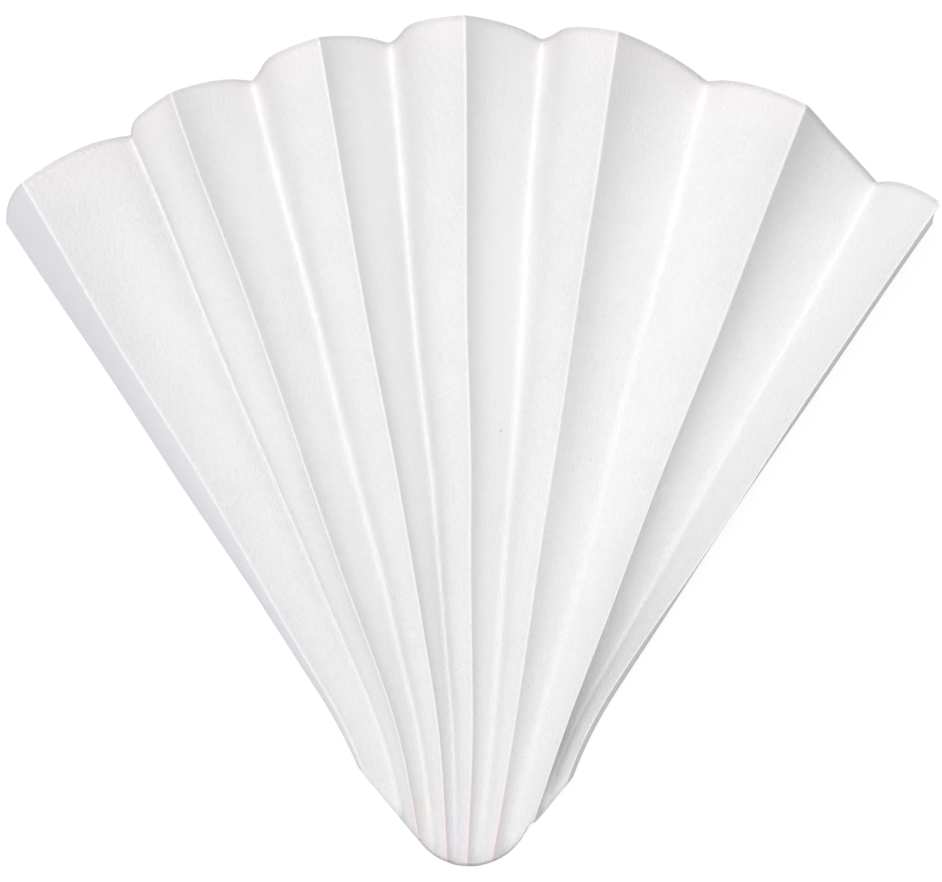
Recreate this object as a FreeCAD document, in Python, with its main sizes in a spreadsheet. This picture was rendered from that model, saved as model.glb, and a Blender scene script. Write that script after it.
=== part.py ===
"""Paper coffee filter: a round sheet of filter paper, folded in half and pleated into a fan.

The two halves of the sheet are two pleated walls, one nested in the other. They are joined
along the two side folds and round the nose, and open along the rim, where the coffee goes in.
Millimetres, +Z up, nose towards -Y, rim towards +Y. The fan lies on Z = 0, and the origin is
under the middle of its box. Until it is placed there, Y = 0 is the nose's end.
"""

import FreeCAD
import Part
import Sketcher
import math
import os

# name, value, meaning
SIZES = [
    ("disc_radius", 120.0, "from the sheet's centre to its edge: nose to rim along a crease"),
    ("rim_radius", 95.8, "roundness of the rim, tighter than the disc as side creases bend round the nose"),
    ("paper", 0.16, "thickness of the paper"),
    ("wall_gap", 0.2, "space between the two nested walls"),
    ("left_fold_angle", -36.0, "direction of the left side fold's rim end, in degrees from +Y towards +X"),
    ("left_fold_neck", -18.7, "the left side fold's place across the neck"),
    ("neck_distance", 18.0, "from the nose's end to the neck, where the creases start to spread"),
    ("neck_height_share", 0.22, "height of the pleats at the neck, over their height at the rim"),
    ("tip_width_share", 0.6, "width of the pleats at the nose's end, over their width at the neck"),
    ("tip_height_share", 0.2, "height of the pleats at the nose's end, over their height at the neck"),
    ("tip_shift", 0.9, "how far the pleats lean to the left from the neck to the nose's end"),
    ("nose_radius", 8.96, "rounding of the nose, seen from above"),
    ("shoulder_angle", 40.2, "slant of the edge from the nose to the side folds, in degrees from +Y"),
]
# Each panel's angle at the rim, its width at the neck and its bow, from left to right. A panel that
# climbs to a ridge bulges, and one that falls from a ridge is hollow, but for the wide one at the left.
PANELS = [
    (2.3, 2.9, 0.07), (8.6, 3.8, 0.015),
    (3.6, 1.8, 0.07), (5.8, 2.9, -0.085),
    (5.0, 2.5, 0.07), (4.8, 2.1, -0.085),
    (5.2, 2.6, 0.07), (5.4, 3.0, -0.085),
    (5.3, 2.8, 0.07), (6.9, 3.3, -0.085),
    (7.0, 3.1, 0.07), (7.0, 2.2, -0.085),
    (4.7, 1.8, 0.07), (0.3, 0.9, -0.05),
]
# The height of each ridge at the rim, under the paper, from left to right.
RIDGE_HEIGHTS = [22.2, 22.0, 22.3, 22.7, 22.2, 21.5, 22.0]

STRIPS = 3  # flat strips that make the bow of a panel
RIM_OVERRUN = 12.0  # how far the pleats are made past the rim before it is trimmed
TIP_OVERRUN = 1.0  # and past the nose's end

# Places on a sketch's lines, its origin and its vertical axis.
START, END, CENTRE = 1, 2, 3
ORIGIN = (-1, START)
VERTICAL_AXIS = -2


def fill_sheet(doc):
    """The named sizes, one to a row, with what each one means."""
    rows = list(SIZES)
    for number, (angle, width, bow) in enumerate(PANELS, start=1):
        rows.append((f"panel_{number}_angle", angle, "degrees between its creases' rim ends, seen from above"))
        rows.append((f"panel_{number}_neck", width, "between its two creases at the neck, seen from above"))
        rows.append((f"panel_{number}_bow", bow, "how far it bulges, or if negative is hollow, over its width"))
    for number, height in enumerate(RIDGE_HEIGHTS, start=1):
        rows.append((f"ridge_{number}_height", height, "at the rim, under the paper"))
    sheet = doc.addObject("Spreadsheet::Sheet", "Sizes")
    for row, (name, value, meaning) in enumerate(rows, start=1):
        sheet.set(f"A{row}", meaning)
        sheet.set(f"B{row}", str(value))
        sheet.setAlias(f"B{row}", name)
    doc.recompute()
    return sheet


def creases(sheet):
    """Every crease from side fold to side fold: its rim end's direction, its neck place, its rim height."""
    angle = sheet.left_fold_angle
    neck = sheet.left_fold_neck
    found = [(angle, neck, 0.0)]
    for number in range(1, len(PANELS) + 1):
        angle += sheet.get(f"panel_{number}_angle")
        neck += sheet.get(f"panel_{number}_neck")
        is_ridge = number % 2 == 1
        height = sheet.get(f"ridge_{(number + 1) // 2}_height") if is_ridge else 0.0
        found.append((angle, neck, height))
    return found


def crease_points(sheet, distance):
    """Where the creases cross the upright plane at a distance from the nose's end, as (x, z)."""
    points = []
    for angle, neck_x, rim_z in creases(sheet):
        rim_x = sheet.disc_radius * math.sin(math.radians(angle))
        rim_y = sheet.disc_radius * math.cos(math.radians(angle))
        neck_z = sheet.neck_height_share * rim_z
        tip_x = sheet.tip_width_share * neck_x - sheet.tip_shift
        tip_z = sheet.tip_height_share * neck_z
        if distance < sheet.neck_distance:
            share = distance / sheet.neck_distance
            points.append((tip_x + share * (neck_x - tip_x), tip_z + share * (neck_z - tip_z)))
        else:
            share = (distance - sheet.neck_distance) / (rim_y - sheet.neck_distance)
            points.append((neck_x + share * (rim_x - neck_x), neck_z + share * (rim_z - neck_z)))
    return points


def bowed_line(sheet, points):
    """The creases, with points between each two that bow the panel out or in."""
    line = [points[0]]
    for panel, ((x0, z0), (x1, z1)) in enumerate(zip(points, points[1:]), start=1):
        for number in range(1, STRIPS + 1):
            share = number / STRIPS
            bulge = 4 * sheet.get(f"panel_{panel}_bow") * share * (1 - share)
            x = x0 + share * (x1 - x0) - bulge * (z1 - z0)
            z = z0 + share * (z1 - z0) + bulge * (x1 - x0)
            line.append((x, z))
    return line


def raised(line, height, inset):
    """The line moved square to itself by a height, and its two ends drawn in by an inset."""
    normals = []
    for (x0, z0), (x1, z1) in zip(line, line[1:]):
        length = math.hypot(x1 - x0, z1 - z0)
        normals.append(((z0 - z1) / length, (x1 - x0) / length))
    moved = []
    for (x, z), before, after in zip(line, normals[:1] + normals, normals + normals[-1:]):
        mitre = height / (1 + before[0] * after[0] + before[1] * after[1])
        moved.append((x + mitre * (before[0] + after[0]), z + mitre * (before[1] + after[1])))
    for end, (normal_x, normal_z), inwards in ((0, normals[0], 1), (-1, normals[-1], -1)):
        x, z = moved[end]
        moved[end] = (x + inwards * inset * normal_z, z - inwards * inset * normal_x)
    return moved


def slice_lines(sheet, distance, lower, upper, inset):
    """The lower and the upper line of a slice across the pleats, at two heights over the underside."""
    line = bowed_line(sheet, crease_points(sheet, distance))
    lines = []
    for height in (lower, upper):
        lines.append([FreeCAD.Vector(x, distance, z) for x, z in raised(line, height, inset)])
    return lines


def flat_face(corners):
    return Part.Face(Part.makePolygon(corners + corners[:1]))


def strip_faces(near, far):
    """The strips between two lines, each in two triangles as it is a little twisted."""
    faces = []
    for a, b, c, d in zip(near, near[1:], far[1:], far):
        faces.append(flat_face([a, b, c]))
        faces.append(flat_face([a, c, d]))
    return faces


def pleated_form(doc, sheet, name, lower, upper, inset):
    """A pleated solid through three slices: at the nose's end, at the neck and past the rim."""
    tip, neck, rim = [
        slice_lines(sheet, distance, lower, upper, inset)
        for distance in (-TIP_OVERRUN, sheet.neck_distance, sheet.disc_radius + RIM_OVERRUN)
    ]
    faces = [flat_face(under + over[::-1]) for under, over in (tip, rim)]
    for near, far in ((tip, neck), (neck, rim)):
        for side in (0, 1):
            faces += strip_faces(near[side], far[side])
        for end in (0, -1):
            faces += strip_faces([line[end] for line in near], [line[end] for line in far])
    shell = Part.Shell(faces)
    shell.sewShape()
    form = doc.addObject("Part::Feature", name)
    form.Shape = Part.Solid(shell)
    return form


def nose_outline(doc):
    """The rounded nose and the two slanting shoulders, seen from above and closed past the rim."""
    sketch = doc.addObject("Sketcher::SketchObject", "nose_outline")
    circle = Part.Circle(FreeCAD.Vector(0, 9, 0), FreeCAD.Vector(0, 0, 1), 9)
    far_left = FreeCAD.Vector(-120, 140, 0)
    far_right = FreeCAD.Vector(120, 140, 0)
    nose = sketch.addGeometry(Part.ArcOfCircle(circle, math.radians(220), math.radians(320)))
    left = sketch.addGeometry(Part.LineSegment(FreeCAD.Vector(-7, 3, 0), far_left))
    right = sketch.addGeometry(Part.LineSegment(FreeCAD.Vector(7, 3, 0), far_right))
    far = sketch.addGeometry(Part.LineSegment(far_left, far_right))
    sketch.addConstraint([
        Sketcher.Constraint("Tangent", nose, START, left, START),
        Sketcher.Constraint("Tangent", nose, END, right, START),
        Sketcher.Constraint("Coincident", left, END, far, START),
        Sketcher.Constraint("Coincident", right, END, far, END),
        Sketcher.Constraint("Horizontal", far),
        Sketcher.Constraint("PointOnObject", nose, CENTRE, VERTICAL_AXIS),
    ])
    slant = "Sizes.shoulder_angle * 1 deg"
    reach = f"Sizes.disc_radius + {2 * RIM_OVERRUN}"
    for constraint, formula in (
        (Sketcher.Constraint("Radius", nose, 9), "Sizes.nose_radius"),
        (Sketcher.Constraint("DistanceY", *ORIGIN, nose, CENTRE, 9), "Sizes.nose_radius"),
        (Sketcher.Constraint("DistanceY", *ORIGIN, far, START, 140), reach),
        (Sketcher.Constraint("Angle", left, math.radians(130)), f"90 deg + {slant}"),
        (Sketcher.Constraint("Angle", right, math.radians(50)), f"90 deg - {slant}"),
    ):
        number = sketch.addConstraint(constraint)
        sketch.setExpression(f"Constraints[{number}]", formula)
    return sketch


def nose_block(doc, name, outline):
    """A block as high as any pleat can be, with the nose's outline seen from above."""
    block = doc.addObject("Part::Extrusion", name)
    block.Base = outline
    block.DirMode = "Custom"
    block.Dir = FreeCAD.Vector(0, 0, 1)
    block.Solid = True
    block.Symmetric = True
    block.setExpression("LengthFwd", "2 * Sizes.disc_radius")
    return block


def rim_ball(doc):
    """The ball that trims the pleats at the rim, so that each panel ends in an arc."""
    ball = doc.addObject("Part::Sphere", "rim_ball")
    ball.setExpression("Radius", "Sizes.rim_radius")
    ball.setExpression("Placement.Base.y", "Sizes.disc_radius - Sizes.rim_radius")
    return ball


def filter_paper(doc, sheet):
    """The folded sheet: the pleated body, less the space between its two walls."""
    outline = nose_outline(doc)
    inner_outline = doc.addObject("Part::Offset2D", "inner_nose_outline")
    inner_outline.Source = outline
    inner_outline.setExpression("Value", "-Sizes.paper")

    thickness = 2 * sheet.paper + sheet.wall_gap
    body = doc.addObject("Part::MultiCommon", "trimmed_pleats")
    body.Shapes = [
        pleated_form(doc, sheet, "pleats", 0.0, thickness, 0.0),
        nose_block(doc, "nose_block", outline),
        rim_ball(doc),
    ]
    space = doc.addObject("Part::Common", "space_between_walls")
    space.Base = pleated_form(doc, sheet, "space", sheet.paper, thickness - sheet.paper, sheet.paper)
    space.Tool = nose_block(doc, "inner_nose_block", inner_outline)

    paper = doc.addObject("Part::Cut", "filter_paper")
    paper.Label = "filter_paper"
    paper.Base = body
    paper.Tool = space
    doc.recompute()
    box = paper.Shape.optimalBoundingBox(False)
    paper.Placement.Base = FreeCAD.Vector(-box.Center.x, -box.Center.y, 0)
    return paper


def check(doc):
    """Stops if any object failed, or has an empty or faulty shape."""
    for feature in doc.Objects:
        if {"Invalid", "Error"} & set(feature.State):
            raise RuntimeError(f"{feature.Label} failed: {feature.State}")
        if hasattr(feature, "Shape") and (feature.Shape.isNull() or not feature.Shape.isValid()):
            raise RuntimeError(f"{feature.Label} has no valid shape")


def main():
    doc = FreeCAD.newDocument("paper_coffee_filter")
    sheet = fill_sheet(doc)
    nodes = [filter_paper(doc, sheet)]
    doc.recompute()
    check(doc)
    os.makedirs("parts", exist_ok=True)
    for node in nodes:
        if len(node.Shape.Solids) != 1:
            raise RuntimeError(f"{node.Label} is {len(node.Shape.Solids)} solids, not one")
        box = node.Shape.optimalBoundingBox(False)
        print(node.Label, f"{box.XLength:.1f} x {box.YLength:.1f} x {box.ZLength:.1f} mm,",
              f"{node.Shape.Volume:.0f} cubic mm, {len(node.Shape.Faces)} faces")
        node.Shape.exportStep(f"parts/{node.Label}.step")


main()
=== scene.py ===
"""Looks of the paper coffee filter: white crepe paper, folded and pleated, on a pale surface.

The sheet is modelled again over the plain solid, at the same place and size, with what the
paper itself adds: rounded creases, soft folds, slow waves and two rims that don't meet.
Lengths are in millimetres until the mesh is written, which is in metres. Y = 0 is the nose's
end, and the rim is towards +Y. Creases and panels are numbered from left to right, from 0. The
even creases are valleys, the odd ones are ridges, and a panel has the number of the crease to
its left.
"""

import math

import bpy
import numpy as np
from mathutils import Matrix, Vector, noise


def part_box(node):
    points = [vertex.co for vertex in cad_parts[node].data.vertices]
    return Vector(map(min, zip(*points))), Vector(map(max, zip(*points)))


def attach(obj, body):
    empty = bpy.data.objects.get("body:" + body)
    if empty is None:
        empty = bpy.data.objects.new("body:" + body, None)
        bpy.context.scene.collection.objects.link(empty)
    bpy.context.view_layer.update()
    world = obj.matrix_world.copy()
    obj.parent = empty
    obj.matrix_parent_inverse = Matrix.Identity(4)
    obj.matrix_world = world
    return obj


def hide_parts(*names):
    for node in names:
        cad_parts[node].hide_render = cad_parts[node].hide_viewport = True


MM = 0.001
NOSE_X = 0.104  # the nose's place across the row frame, whose origin is under the middle of the box

# The fan. Its sizes are the plain solid's, but for TIP_HEIGHT_SHARE and the first two panels'
# widths at the neck, which come closer to the photograph.
DISC_RADIUS = 120.0
RIM_RADIUS = 95.8
PAPER = 0.16
WALL_GAP = 0.2
LEFT_FOLD_ANGLE = -36.0
LEFT_FOLD_NECK = -18.7
NECK_DISTANCE = 18.0
NECK_HEIGHT_SHARE = 0.22
TIP_WIDTH_SHARE = 0.6
TIP_HEIGHT_SHARE = 0.4
TIP_SHIFT = 0.9
NOSE_RADIUS = 8.96
SHOULDER_ANGLE = 40.2
# Each panel's angle at the rim, its width at the neck and its bow, from left to right.
PANELS = [
    (2.3, 1.9, 0.07), (8.6, 4.8, 0.015),
    (3.6, 1.8, 0.07), (5.8, 2.9, -0.085),
    (5.0, 2.5, 0.07), (4.8, 2.1, -0.085),
    (5.2, 2.6, 0.07), (5.4, 3.0, -0.085),
    (5.3, 2.8, 0.07), (6.9, 3.3, -0.085),
    (7.0, 3.1, 0.07), (7.0, 2.2, -0.085),
    (4.7, 1.8, 0.07), (0.3, 0.9, -0.05),
]
RIDGE_HEIGHTS = [22.2, 22.0, 22.3, 22.7, 22.2, 21.5, 22.0]

# What the paper adds. For each panel: the change of its bow, the depth of its ripple, and the
# share of its width at which it lies flattest.
PANEL_RIPPLES = [
    (0.0, 0.0, 0.5), (0.01, 0.04, 0.3),
    (-0.04, 0.24, 0.66), (0.06, 0.06, 0.45),
    (-0.03, 0.26, 0.83), (0.055, 0.08, 0.45),
    (-0.03, 0.26, 0.83), (0.045, 0.08, 0.5),
    (-0.03, 0.22, 0.83), (0.065, 0.06, 0.55),
    (-0.03, 0.08, 0.5), (-0.05, 0.1, 0.75),
    (-0.03, 0.05, 0.6), (0.0, 0.0, 0.5),
]
# Painted light and shade on each panel: paler where above 0, greyer where below 0, standing in for how the
# light falls on it.
PANEL_PAINTED_SHADING = [0.0, 0.1, 0.0, 0.45, 0.0, 0.6, 0.0, 0.6, 0.0, 0.15, 0.0, -0.3, 0.9, 0.0]
RIDGE_SOFTENING = 0.22  # how far a crease is rounded to either side
VALLEY_SOFTENING = 1.3
NARROW_SOFTENING = 0.34  # at most this share of a panel's width
NECK_SOFTENING = 7.0  # how far the creases' bend at the neck is rounded to either side
RIM_BOW_SHARE = 0.45  # the bows at the rim, over those at the neck
NOSE_SHIFT = -0.45  # how far the nose stands to the right of the fan's middle
BACK_RIM_PROUD = 0.35  # how far the lower wall's rim stands past the upper one's

# How far the side folds are drawn in between the rim and the nose, with the creases next to the right one.
FOLD_DRAW_LEFT = 1.7
FOLD_DRAW_RIGHT = 2.0
FOLD_DRAW_SHARES = {12: 0.2, 13: 0.72, 14: 0.82}
FOLD_DRAW_START = 8.0  # this far from the nose's end, the drawing in starts
FOLD_DRAW_FULL = 12.0  # this far from it, the left fold is fully drawn in
FOLD_DRAW_LEAN = 0.6  # below 1, the right fold is drawn in most nearer the nose

# A small nick in the edge where the nose meets the right shoulder.
NICK_X = 8.1
NICK_DEPTH = 0.7
NICK_REACH = 0.55

# Slow wandering of the creases and the bows, which starts past the nose and grows towards the rim.
CREASE_WANDER = 0.5
BOW_WANDER = 0.03
WANDER_LENGTH = 26.0
WANDER_START = 8.0
WANDER_GROWTH = 30.0
# How far the cut edge runs past or short of its round at each crease.
RIM_WANDER = [0.7, 0.5, -0.4, -0.6, -0.6, -0.3, 0.2, 0.3, 0.5, 0.25, 0.0, 0.0, -0.9, 0.0, 0.0]

# Spots on the paper: place, reach, strength and colour. Two are grey specks, and two are yellowed.
MARKS = [
    ((4.2, 1.7, 4.8), 0.5, 0.6, "#bdbdbd"),
    ((16.9, -2.3, 4.7), 0.5, 0.6, "#bdbdbd"),
    ((-6.7, -51.5, 1.7), 2.4, 0.9, "#ebe8e3"),
    ((14.9, -43.4, 7.9), 2.2, 0.9, "#eae6dc"),
]

# How wide the paper's clouds, flecks and wrinkles are, and how deep the wrinkles.
CLOUD_SIZE = 6.25
FLECK_SIZE = 0.83
WRINKLE_SIZE = 0.67
WRINKLE_DEPTH = 0.17

# How far the paper's tints and its painted light and shade reach.
RIM_PINK = 9.0
END_GREY = 75.0
NOSE_TINT = 18.0
NOSE_RIDGE_PINK = 1.3
NOSE_VALLEY_SHADE = 0.9
VALLEY_SHADE_REACH = 1.3
RIDGE_PINK = 0.2
EDGE_SHADE_REACH = 0.3
EDGE_SHADE_END = 8.0  # how far from the nose's end the painted shade along the edge runs
FOLD_SHADE_SPAN = (15.0, 60.0)  # where the painted shade on the grey panel stops getting greyer towards the nose, and where it starts
VALLEY_SHADE_SPAN = (30.0, 95.0)  # the same for the painted shade in the valleys

# The photograph's view. The camera aims at a place on the floor, from the nose's end.
CAMERA_DISTANCE = 507.0
CAMERA_ELEVATION = 81.7
CAMERA_AIM = (-0.24, 60.8)
PIXELS_PER_MM = 6.92
PHOTO_WIDTH = 942
SENSOR_WIDTH = 36.0

# The light, with the lamp's and the floor's sizes in metres.
SKY_TOP = 0.785
SKY_SIDE = 0.25
SKY_LEAN = 0.1  # how much brighter the sky's left side is, and how much darker its right
LAMP_PLACE = (-0.13, 0.06, 1.0)
LAMP_SIZE = 0.5
LAMP_POWER = 4.4
FLOOR_WIDTH = 6.0
FLOOR_WHITENING = 0.75  # how far the floor's shadows are faded where the floor is seen

# The mesh: columns across a panel, closer together at its creases, and rows along the creases,
# closer together at the nose.
PANEL_STATIONS = [0.0, 0.012, 0.03, 0.06, 0.12, 0.22, 0.36, 0.5, 0.64, 0.78, 0.88, 0.94, 0.97, 0.988]
ROWS = 88
ROW_CROWDING = 0.85

# The upright slices that the walls are drawn on, from before the nose's end to past the rim.
SLICES = 150
BEFORE_NOSE = 1.5
PAST_RIM = 6.0
PANEL_POINTS = 24  # points across a panel in a slice
AVERAGED_POINTS = 9  # points whose mean rounds a crease

# A wall's points hold x, y, z and then these measures, which the mesh keeps for the material: the
# way from the nose's end, from the nearest ridge and valley and from the rim, 1 on the side strip, which
# gets painted bluish sky light, the painted light and shade of its panel, and the way from the nose's edge.
MEASURES = ["nose_mm", "ridge_mm", "valley_mm", "rim_mm", "painted_sky_light_strip", "painted_panel_shading", "edge_mm"]


def linear(hex_colour):
    """An sRGB hex colour as linear red, green, blue and alpha."""
    parts = []
    for start in (1, 3, 5):
        value = int(hex_colour[start:start + 2], 16) / 255
        parts.append(value / 12.92 if value <= 0.04045 else ((value + 0.055) / 1.055) ** 2.4)
    return (*parts, 1.0)


# Form


def creases():
    """Rim end, neck place and tip place of every crease, each as (x, y, z), from left to right."""
    angle, neck = LEFT_FOLD_ANGLE, LEFT_FOLD_NECK
    found = []
    for number in range(len(PANELS) + 1):
        if number:
            angle += PANELS[number - 1][0]
            neck += PANELS[number - 1][1]
        height = RIDGE_HEIGHTS[number // 2] if number % 2 else 0.0
        turn = math.radians(angle)
        rim = (DISC_RADIUS * math.sin(turn), DISC_RADIUS * math.cos(turn), height)
        low = NECK_HEIGHT_SHARE * height
        tip = (TIP_WIDTH_SHARE * neck - TIP_SHIFT, 0.0, TIP_HEIGHT_SHARE * low)
        found.append((rim, (neck, NECK_DISTANCE, low), tip))
    return found


CREASES = creases()


def wander(seed, distance):
    """A slow change along a crease or panel, from about -0.5 to 0.5, that ends at the nose."""
    growth = min(max(distance - WANDER_START, 0) / WANDER_GROWTH, 1)
    return noise.noise(Vector((seed * 7.3, distance / WANDER_LENGTH, 0.4))) * growth


def draw_in(number, distance):
    """How far a crease near a side fold stands to the right of the straight line from neck to rim."""
    along = min(max(distance - FOLD_DRAW_START, 0) / (DISC_RADIUS - FOLD_DRAW_FULL), 1)
    if number == 0:
        return FOLD_DRAW_LEFT * (1 - along) * min(distance / FOLD_DRAW_FULL, 1)
    share = FOLD_DRAW_SHARES.get(number, 0.0)
    return -FOLD_DRAW_RIGHT * share * math.sin(math.pi * along**FOLD_DRAW_LEAN)


def crease_points(distance):
    """Where the creases cross the upright plane at a distance from the nose's end, as (x, z)."""
    past = distance - NECK_DISTANCE
    turn = min(max(past + NECK_SOFTENING, 0), 2 * NECK_SOFTENING)
    bend = turn**2 / (4 * NECK_SOFTENING) + max(past - NECK_SOFTENING, 0)
    points = []
    for number, (rim, neck, tip) in enumerate(CREASES):
        point = []
        for axis in (0, 2):
            spread = (rim[axis] - neck[axis]) / (rim[1] - NECK_DISTANCE)
            slope = (neck[axis] - tip[axis]) / NECK_DISTANCE
            point.append(neck[axis] + slope * past + (spread - slope) * bend)
        point[0] += CREASE_WANDER * wander(number, distance) + draw_in(number, distance)
        if number % 2:
            point[1] += CREASE_WANDER * wander(number + 20, distance)
        points.append(tuple(point))
    return points


def bulges(panel, distance, shares):
    """How far a panel stands off its flat form at shares of its width, over its width."""
    base = PANELS[panel][2]
    change, depth, place = PANEL_RIPPLES[panel]
    along = min(max(distance - NECK_DISTANCE, 0) / (DISC_RADIUS - NECK_DISTANCE), 1)
    bow = (base + change) * (1 + (RIM_BOW_SHARE - 1) * along) + BOW_WANDER * wander(panel + 40, distance)
    turn = 2 * math.pi
    ripple = (np.sin(turn * (shares - place)) + math.sin(turn * place)) * depth / turn
    return 4 * bow * shares * (1 - shares) + (ripple if panel % 2 else -ripple)


def raised(points, distance, height):
    """The creases of a wall that runs at a height over the underside, square to the panels' ends."""
    normals = []
    step = 0.01
    for panel, ((x0, z0), (x1, z1)) in enumerate(zip(points, points[1:])):
        start, end = bulges(panel, distance, np.array([step, 1 - step])) / step
        for bend in (start, -end):
            along = (x1 - x0 - bend * (z1 - z0), z1 - z0 + bend * (x1 - x0))
            length = math.hypot(*along)
            normals.append((-along[1] / length, along[0] / length))
    moved = []
    for (x, z), before, after in zip(points, normals[:1] + normals[1::2], normals[0::2] + normals[-1:]):
        mitre = height / (1 + before[0] * after[0] + before[1] * after[1])
        moved.append((x + mitre * (before[0] + after[0]), z + mitre * (before[1] + after[1])))
    return moved


def nearest(places, marks):
    """How far each place is past the mark nearest to it."""
    apart = places[:, None] - marks[None, :]
    return apart[np.arange(len(places)), np.abs(apart).argmin(axis=1)]


def slice_curve(distance, height, stations):
    """The bowed and softly creased line of a wall across the pleats: x, z and the way past the nearest
    ridge and valley, each an array with a value a station."""
    points = raised(crease_points(distance), distance, height)
    shares = np.linspace(0, 1, PANEL_POINTS + 1)[1:]
    xs, zs, places = [[points[0][0]]], [[points[0][1]]], [[0.0]]
    for panel, ((x0, z0), (x1, z1)) in enumerate(zip(points, points[1:])):
        bulge = bulges(panel, distance, shares)
        xs.append(x0 + shares * (x1 - x0) - bulge * (z1 - z0))
        zs.append(z0 + shares * (z1 - z0) + bulge * (x1 - x0))
        places.append(panel + shares)
    xs, zs, places = np.concatenate(xs), np.concatenate(zs), np.concatenate(places)
    length = np.concatenate([[0.0], np.cumsum(np.hypot(np.diff(xs), np.diff(zs)))])
    middle = np.interp(stations, places, length)
    crease_places = np.interp(range(len(PANELS) + 1), places, length)
    ridge = nearest(middle, crease_places[1::2])
    valley = nearest(middle, crease_places[0::2])
    panel_length = np.abs(ridge) + np.abs(valley)
    softening = RIDGE_SOFTENING + (VALLEY_SOFTENING - RIDGE_SOFTENING) * np.abs(ridge) / panel_length
    softening = np.minimum(softening, NARROW_SOFTENING * panel_length)
    x, z = np.zeros(len(stations)), np.zeros(len(stations))
    for reach in np.linspace(-1, 1, AVERAGED_POINTS):
        at = np.clip(middle + reach * softening, 0, length[-1])
        x += np.interp(at, length, xs) / AVERAGED_POINTS
        z += np.interp(at, length, zs) / AVERAGED_POINTS
    return x, z, ridge, valley


def nose_edge(x):
    """How far from the nose's end the outline of the nose and shoulders is, at x."""
    slant = math.radians(SHOULDER_ANGLE)
    nick = NICK_DEPTH * math.exp(-(((x - NICK_X) / NICK_REACH) ** 2))
    x = abs(x - NOSE_SHIFT)
    turn = NOSE_RADIUS * math.cos(slant)
    if x <= turn:
        return nick + NOSE_RADIUS - math.sqrt(NOSE_RADIUS**2 - x * x)
    return nick + NOSE_RADIUS * (1 - math.sin(slant)) + (x - turn) / math.tan(slant)


def crossing(before, after):
    """How far from before to after a signed value passes zero."""
    return before / (before - after)


def wall_grid(stations, height, proud):
    """A wall at a height over the underside, whose rim stands proud of its round. It has rows from the
    rim to the nose and one column a station, and each point holds x, y, z and the measures."""
    distances = np.linspace(-BEFORE_NOSE, DISC_RADIUS + PAST_RIM, SLICES)
    slice_step = distances[1] - distances[0]
    curves = [slice_curve(distance, height, stations) for distance in distances]
    xs, zs, ridges, valleys = (np.array([curve[part] for curve in curves]) for part in range(4))
    ball_y = DISC_RADIUS - RIM_RADIUS
    grid = np.zeros((ROWS + 1, len(stations), 3 + len(MEASURES)))
    shares = 1 - (1 - np.linspace(0, 1, ROWS + 1)) ** ROW_CROWDING
    for column, station in enumerate(stations):
        x, z = xs[:, column], zs[:, column]
        rim_radius = RIM_RADIUS + proud + np.interp(station, range(len(PANELS) + 1), RIM_WANDER)
        nose = np.array([distance - nose_edge(value) for distance, value in zip(distances, x)])
        rim = x**2 + (distances - ball_y) ** 2 + z**2 - rim_radius**2
        first = int(np.argmax(nose > 0))
        last = int(np.argmax((rim > 0) & (distances > ball_y)))
        start = distances[first - 1] + crossing(nose[first - 1], nose[first]) * slice_step
        end = distances[last - 1] + crossing(rim[last - 1], rim[last]) * slice_step
        at = end + (start - end) * shares
        measures = {
            "nose_mm": at,
            "ridge_mm": np.interp(at, distances, ridges[:, column]),
            "valley_mm": np.interp(at, distances, valleys[:, column]),
            "rim_mm": end - at,
            # 1 on the side strip, which gets painted bluish sky light
            "painted_sky_light_strip": station < 1,
            "painted_panel_shading": PANEL_PAINTED_SHADING[min(int(station), len(PANELS) - 1)],
            "edge_mm": at - start,
        }
        grid[:, column, 0] = np.interp(at, distances, x)
        grid[:, column, 1] = at
        grid[:, column, 2] = np.interp(at, distances, z)
        for part, measure in enumerate(MEASURES, start=3):
            grid[:, column, part] = measures[measure]
    return grid


def mesh_object(name, points, faces):
    """An object whose mesh has these points, given in millimetres, and these faces."""
    mesh = bpy.data.meshes.new(name)
    mesh.from_pydata([(x * MM, y * MM, z * MM) for x, y, z in points], [], faces)
    mesh.update()
    piece = bpy.data.objects.new(name, mesh)
    bpy.context.scene.collection.objects.link(piece)
    return piece


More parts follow.
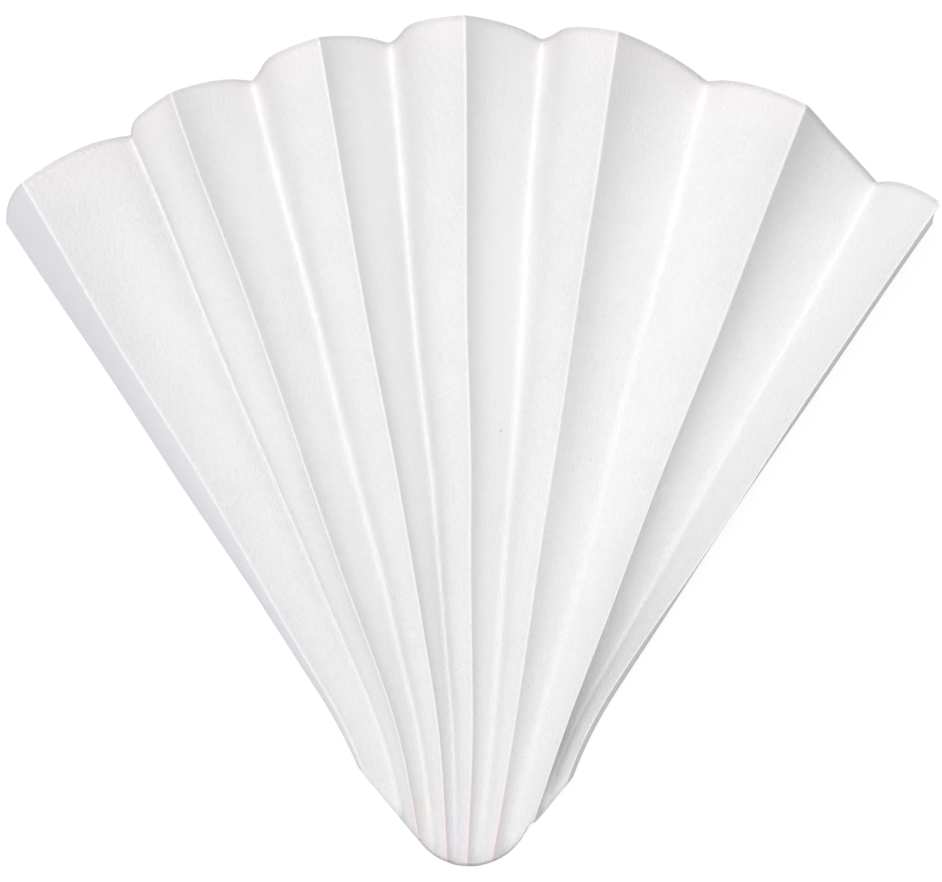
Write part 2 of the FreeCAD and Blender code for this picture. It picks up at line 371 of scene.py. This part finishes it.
def folded_sheet(name, nose_place):
    """The whole sheet as one surface: upper wall, round the side folds and the nose, lower wall."""
    stations = [panel + share for panel in range(len(PANELS)) for share in PANEL_STATIONS]
    stations.append(float(len(PANELS)))
    lower_height = PAPER / 2
    stand_off = (PAPER + WALL_GAP) / 2
    top = wall_grid(stations, lower_height + 2 * stand_off, 0.0)
    bottom = wall_grid(stations, lower_height, BACK_RIM_PROUD)

    columns = len(stations)
    points = []

    def add(point):
        points.append(tuple(point))
        return len(points) - 1

    top_ids = [[add(top[row, column]) for column in range(columns)] for row in range(ROWS + 1)]
    bottom_ids = [[add(bottom[row, column]) for column in range(columns)] for row in range(ROWS + 1)]

    def fold_point(row, column, outward):
        middle = (top[row, column] + bottom[row, column]) / 2
        middle[:3] += outward * stand_off
        return add(middle)

    left_ids, right_ids = [], []
    for row in range(ROWS + 1):
        for ids, column, inner in ((left_ids, 0, 1), (right_ids, columns - 1, columns - 2)):
            outward = (top[row, column] - top[row, inner])[:3]
            ids.append(fold_point(row, column, outward / np.linalg.norm(outward)))
    nose_ids = [left_ids[ROWS]]
    for column in range(1, columns - 1):
        outward = (top[ROWS, column] - top[ROWS - 1, column])[:3]
        nose_ids.append(fold_point(ROWS, column, outward / np.linalg.norm(outward)))
    nose_ids.append(right_ids[ROWS])

    faces = []

    def strip(first, second):
        for a, b, c, d in zip(first, first[1:], second[1:], second):
            faces.append((a, b, c, d))

    for row in range(ROWS):
        ring_here = top_ids[row] + [right_ids[row]] + bottom_ids[row][::-1] + [left_ids[row], top_ids[row][0]]
        ring_next = top_ids[row + 1] + [right_ids[row + 1]] + bottom_ids[row + 1][::-1]
        ring_next += [left_ids[row + 1], top_ids[row + 1][0]]
        strip(ring_next, ring_here)
    strip(nose_ids, top_ids[ROWS])
    strip(bottom_ids[ROWS], nose_ids)
    faces.append((top_ids[ROWS][0], left_ids[ROWS], bottom_ids[ROWS][0]))
    faces.append((top_ids[ROWS][-1], bottom_ids[ROWS][-1], right_ids[ROWS]))
    faces = [face for face in faces if len(set(face)) == len(face)]

    lowest = min(point[2] for point in points) - PAPER / 2
    placed = [(point[0] + nose_place[0], point[1] + nose_place[1], point[2] - lowest) for point in points]
    piece = mesh_object(name, placed, faces)
    for part, measure in enumerate(MEASURES, start=3):
        attribute = piece.data.attributes.new(measure, "FLOAT", "POINT")
        attribute.data.foreach_set("value", [float(point[part]) for point in points])
    return piece


# Materials


def add_node(tree, kind, inputs=None, **settings):
    """One shader node, with its settings and the values of its inputs."""
    node = tree.nodes.new(kind)
    for key, value in settings.items():
        setattr(node, key, value)
    for key, value in (inputs or {}).items():
        if isinstance(value, bpy.types.NodeSocket):
            tree.links.new(value, node.inputs[key])
        else:
            node.inputs[key].default_value = value
    return node


def near(tree, value, reach):
    """1 where a value is 0, falling smoothly to 0 at a reach to either side."""
    away = add_node(tree, "ShaderNodeMath", {0: value}, operation="ABSOLUTE").outputs[0]
    fall = add_node(
        tree, "ShaderNodeMapRange",
        {"Value": away, "From Min": 0.0, "From Max": reach, "To Min": 1.0, "To Max": 0.0},
        interpolation_type="SMOOTHSTEP")
    return fall.outputs["Result"]


def stained(tree, colour, hex_colour, strength, *masks):
    """A colour with another laid over it, as strongly as the strength times the masks. Below 0 that
    lays on nothing, so painted light whitens some panels and painted shade greys another."""
    amount = strength
    for mask in masks:
        amount = add_node(tree, "ShaderNodeMath", {0: amount, 1: mask}, operation="MULTIPLY").outputs[0]
    mix = add_node(tree, "ShaderNodeMix", {0: amount, 6: colour, 7: linear(hex_colour)}, data_type="RGBA")
    return mix.outputs[2]


def crepe_paper():
    """White filter paper, wet-laid and creped, so it is matt, cloudy and finely wrinkled."""
    material = bpy.data.materials.new("white_crepe_filter_paper")
    material.use_nodes = True
    tree = material.node_tree
    tree.nodes.clear()
    place = add_node(tree, "ShaderNodeTexCoord").outputs["Object"]
    in_mm = add_node(tree, "ShaderNodeVectorMath", {0: place, "Scale": 1 / MM}, operation="SCALE").outputs[0]
    way = {}
    for measure in MEASURES:
        way[measure] = add_node(tree, "ShaderNodeAttribute", attribute_name=measure).outputs["Fac"]

    # Clouds of fibre some millimetres across, and the flecks of single fibres.
    cloud = add_node(tree, "ShaderNodeTexNoise", {"Vector": in_mm, "Scale": 1 / CLOUD_SIZE, "Detail": 3.0})
    tone = add_node(tree, "ShaderNodeValToRGB", {"Fac": cloud.outputs["Fac"]})
    tone.color_ramp.elements[0].position = 0.35
    tone.color_ramp.elements[0].color = linear("#efefef")
    tone.color_ramp.elements[1].position = 0.65
    tone.color_ramp.elements[1].color = linear("#f2f2f2")
    fleck = add_node(
        tree, "ShaderNodeTexNoise",
        {"Vector": in_mm, "Scale": 1 / FLECK_SIZE, "Detail": 3.0, "Roughness": 0.65})
    pale = add_node(
        tree, "ShaderNodeMapRange", {"Value": fleck.outputs["Fac"], "From Min": 0.45, "From Max": 0.75})
    colour = stained(tree, tone.outputs["Color"], "#f5f5f5", 1.0, pale.outputs["Result"])

    # The rim is a little pink. Painted light makes some panels paler, and painted shade makes one greyer,
    # most of all at the neck.
    colour = stained(tree, colour, "#faf4f6", 0.6, near(tree, way["rim_mm"], RIM_PINK))
    colour = stained(tree, colour, "#fcfcfc", 1.0, way["painted_panel_shading"])
    start, end = FOLD_SHADE_SPAN
    fold_shade = add_node(
        tree, "ShaderNodeMapRange",
        {"Value": way["nose_mm"], "From Min": start, "From Max": end, "To Min": 2.4, "To Max": 1.0})
    colour = stained(tree, colour, "#d8d8d8", -1.0, way["painted_panel_shading"], fold_shade.outputs["Result"])

    # Greyer towards the nose, where the ridges are pink and the valleys get a painted bluish shade.
    nose = near(tree, way["nose_mm"], NOSE_TINT)
    colour = stained(tree, colour, "#e5e5e5", 0.42, near(tree, way["nose_mm"], END_GREY))
    colour = stained(tree, colour, "#eae7ea", 0.6, nose)
    colour = stained(tree, colour, "#f0dfe2", 0.65, nose, near(tree, way["ridge_mm"], NOSE_RIDGE_PINK))
    colour = stained(tree, colour, "#e0e0f1", 0.7, nose, near(tree, way["valley_mm"], NOSE_VALLEY_SHADE))

    # Painted shade darkens the valleys, most of all near the nose. Painted bluish sky light lies on the side
    # strip, and the ridges are a little pink.
    start, end = VALLEY_SHADE_SPAN
    valley_shade_strength = add_node(
        tree, "ShaderNodeMapRange",
        {"Value": way["nose_mm"], "From Min": start, "From Max": end, "To Min": 0.8, "To Max": 0.4})
    valley = near(tree, way["valley_mm"], VALLEY_SHADE_REACH)
    colour = stained(tree, colour, "#dfdfdf", 1.0, valley, valley_shade_strength.outputs["Result"])
    colour = stained(tree, colour, "#f5f5fa", 0.8, way["painted_sky_light_strip"])
    colour = stained(tree, colour, "#f7efef", 0.5, near(tree, way["ridge_mm"], RIDGE_PINK))

    # Painted shade makes the nose's folded edge a thin dark line, and some spots are marked.
    tip = near(tree, way["nose_mm"], EDGE_SHADE_END)
    colour = stained(tree, colour, "#a9a4ab", 0.55, tip, near(tree, way["edge_mm"], EDGE_SHADE_REACH))
    for spot, reach, strength, hex_colour in MARKS:
        apart = add_node(tree, "ShaderNodeVectorMath", {0: in_mm, 1: spot}, operation="DISTANCE")
        colour = stained(tree, colour, hex_colour, strength, near(tree, apart.outputs["Value"], reach))

    # Crepe wrinkles, drawn a little wider than real ones so that they show.
    wrinkle = add_node(
        tree, "ShaderNodeTexNoise",
        {"Vector": in_mm, "Scale": 1 / WRINKLE_SIZE, "Detail": 3.0, "Roughness": 0.6})
    bump = add_node(
        tree, "ShaderNodeBump",
        {"Height": wrinkle.outputs["Fac"], "Strength": 1.0, "Distance": WRINKLE_DEPTH * MM})
    shader = add_node(
        tree, "ShaderNodeBsdfPrincipled",
        {"Base Color": colour, "Roughness": 0.95, "Normal": bump.outputs["Normal"],
         "Specular IOR Level": 0.15})
    add_node(tree, "ShaderNodeOutputMaterial", {"Surface": shader.outputs["BSDF"]})
    return material


def floor_card():
    """Matt white card, cut and laid flat. Its own shadows are faded where it is seen."""
    material = bpy.data.materials.new("white_floor_card")
    material.use_nodes = True
    tree = material.node_tree
    tree.nodes.clear()
    card = add_node(tree, "ShaderNodeBsdfDiffuse", {"Color": linear("#e2e2e2")})
    white = add_node(tree, "ShaderNodeEmission", {"Color": linear("#ffffff"), "Strength": 1.15})
    rays = add_node(tree, "ShaderNodeLightPath").outputs
    seen = rays["Is Camera Ray"]
    for ray in (rays["Is Glossy Ray"], rays["Is Transmission Ray"]):
        seen = add_node(tree, "ShaderNodeMath", {0: seen, 1: ray}, operation="MAXIMUM").outputs[0]
    share = add_node(tree, "ShaderNodeMath", {0: seen, 1: FLOOR_WHITENING}, operation="MULTIPLY").outputs[0]
    mix = add_node(tree, "ShaderNodeMixShader", {0: share, 1: card.outputs[0], 2: white.outputs[0]})
    add_node(tree, "ShaderNodeOutputMaterial", {"Surface": mix.outputs[0]})
    return material


# Stage


def area_lamp(name, place, target, size, power):
    """A soft round lamp at a place, turned to a target, all in metres."""
    light = bpy.data.lights.new(name, "AREA")
    light.shape = "DISK"
    light.size = size
    light.energy = power
    lamp = bpy.data.objects.new(name, light)
    lamp.location = place
    lamp.rotation_euler = (Vector(target) - Vector(place)).to_track_quat("-Z", "Y").to_euler()
    bpy.context.scene.collection.objects.link(lamp)


def make_camera(target):
    """The camera of the photograph's view, aimed at a target in metres."""
    scene = bpy.context.scene
    lens = bpy.data.cameras.new("camera")
    lens.sensor_fit = "HORIZONTAL"
    lens.sensor_width = SENSOR_WIDTH
    lens.lens = SENSOR_WIDTH * PIXELS_PER_MM * CAMERA_DISTANCE / PHOTO_WIDTH
    lens.clip_start = 0.01
    camera = bpy.data.objects.new("camera", lens)
    slope = math.radians(CAMERA_ELEVATION)
    away = Vector((0, -math.cos(slope), math.sin(slope))) * CAMERA_DISTANCE * MM
    camera.location = Vector(target) + away
    camera.rotation_euler = (-away).to_track_quat("-Z", "Y").to_euler()
    scene.collection.objects.link(camera)
    scene.camera = camera


def make_stage(target):
    """The floor, the soft sky round it and a large lamp over it."""
    scene = bpy.context.scene
    scene.view_settings.view_transform = "Standard"
    bpy.ops.mesh.primitive_plane_add(size=FLOOR_WIDTH)
    floor = bpy.context.object
    floor.name = "floor"
    floor.data.materials.append(floor_card())

    world = bpy.data.worlds.new("studio")
    world.use_nodes = True
    tree = world.node_tree
    tree.nodes.clear()
    direction = add_node(tree, "ShaderNodeTexCoord").outputs["Generated"]
    axes = add_node(tree, "ShaderNodeSeparateXYZ", {0: direction}).outputs
    height = axes["Z"]
    strength = add_node(
        tree, "ShaderNodeMapRange",
        {"Value": height, "From Min": 0.0, "From Max": 0.8, "To Min": SKY_SIDE, "To Max": SKY_TOP})
    leaning = add_node(
        tree, "ShaderNodeMath", {0: axes["X"], 1: -SKY_LEAN, 2: strength.outputs["Result"]},
        operation="MULTIPLY_ADD")
    cool = add_node(tree, "ShaderNodeMapRange", {"Value": height, "From Min": 0.5, "From Max": 0.0})
    colour = stained(tree, linear("#ffffff"), "#f1f3ff", 1.0, cool.outputs["Result"])
    sky = add_node(tree, "ShaderNodeBackground", {"Color": colour, "Strength": leaning.outputs[0]})
    add_node(tree, "ShaderNodeOutputWorld", {"Surface": sky.outputs[0]})
    scene.world = world
    area_lamp("overhead_lamp", LAMP_PLACE, target, LAMP_SIZE, LAMP_POWER)


# Scene

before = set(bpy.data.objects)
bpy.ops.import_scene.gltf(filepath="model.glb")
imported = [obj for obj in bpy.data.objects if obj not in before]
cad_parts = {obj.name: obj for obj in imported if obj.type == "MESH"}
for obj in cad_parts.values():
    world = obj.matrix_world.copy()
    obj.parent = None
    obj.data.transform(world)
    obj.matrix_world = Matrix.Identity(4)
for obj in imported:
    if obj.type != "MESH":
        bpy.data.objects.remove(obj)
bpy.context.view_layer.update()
low_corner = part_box("filter_paper")[0]
nose_place = (NOSE_X, low_corner[1] / MM)
sheet = folded_sheet("folded_filter_sheet", nose_place)
sheet.data.materials.append(crepe_paper())
sheet.data.polygons.foreach_set("use_smooth", [True] * len(sheet.data.polygons))
thickness = sheet.modifiers.new("paper_thickness", "SOLIDIFY")
thickness.thickness = PAPER * MM
thickness.offset = 0.0
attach(sheet, "root")
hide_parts("filter_paper")

target = ((CAMERA_AIM[0] + NOSE_X) * MM, low_corner[1] + CAMERA_AIM[1] * MM, 0.0)
make_camera(target)
make_stage(target)
